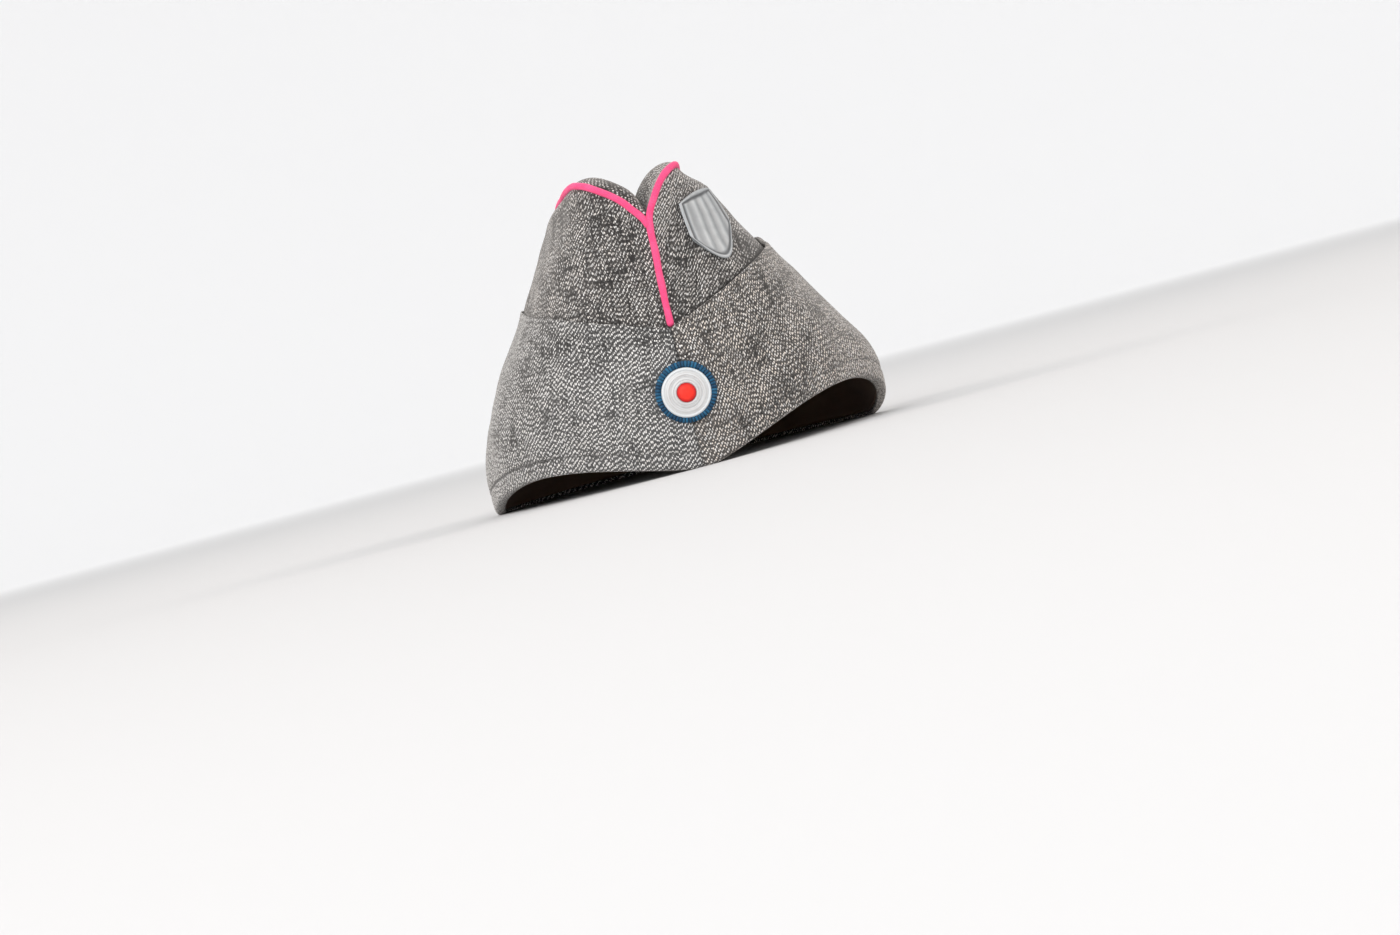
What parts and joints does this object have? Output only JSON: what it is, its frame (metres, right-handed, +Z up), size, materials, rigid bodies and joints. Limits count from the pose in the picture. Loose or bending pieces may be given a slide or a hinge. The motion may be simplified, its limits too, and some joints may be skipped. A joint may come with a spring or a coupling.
{
  "type": "side cap",
  "caption": "Soft cloth side cap with a folded-in crown, a turn-up curtain, piped ridge and front seams, a round cockade and a plain badge.",
  "frame": {"origin": "middle of the cap's length and width, on the plane that the rim rests on", "axes": "+Z up, -Y to the front where the cockade is, +X to the wearer's left"},
  "size_m": [0.1674, 0.2124, 0.1191],
  "materials": {
    "cap_cloth": "salt and pepper wool twill",
    "piping_cord": "pink wool cord",
    "band_cloth": "brown cotton",
    "ring_enamel": "satin blue",
    "disc_metal": "turned, satin",
    "boss_enamel": "gloss red",
    "badge_metal": "dull grey"
  },
  "bodies": {
    "root": {"crown_left": "cap_cloth", "crown_right": "cap_cloth", "crown_top": "cap_cloth", "curtain_left": "cap_cloth", "curtain_right": "cap_cloth", "piping_left": "piping_cord", "piping_right": "piping_cord", "inner_band": "band_cloth", "cockade_ring": "ring_enamel", "cockade_disc": "disc_metal", "cockade_boss": "boss_enamel", "badge": "badge_metal"}
  },
  "joints": []
}
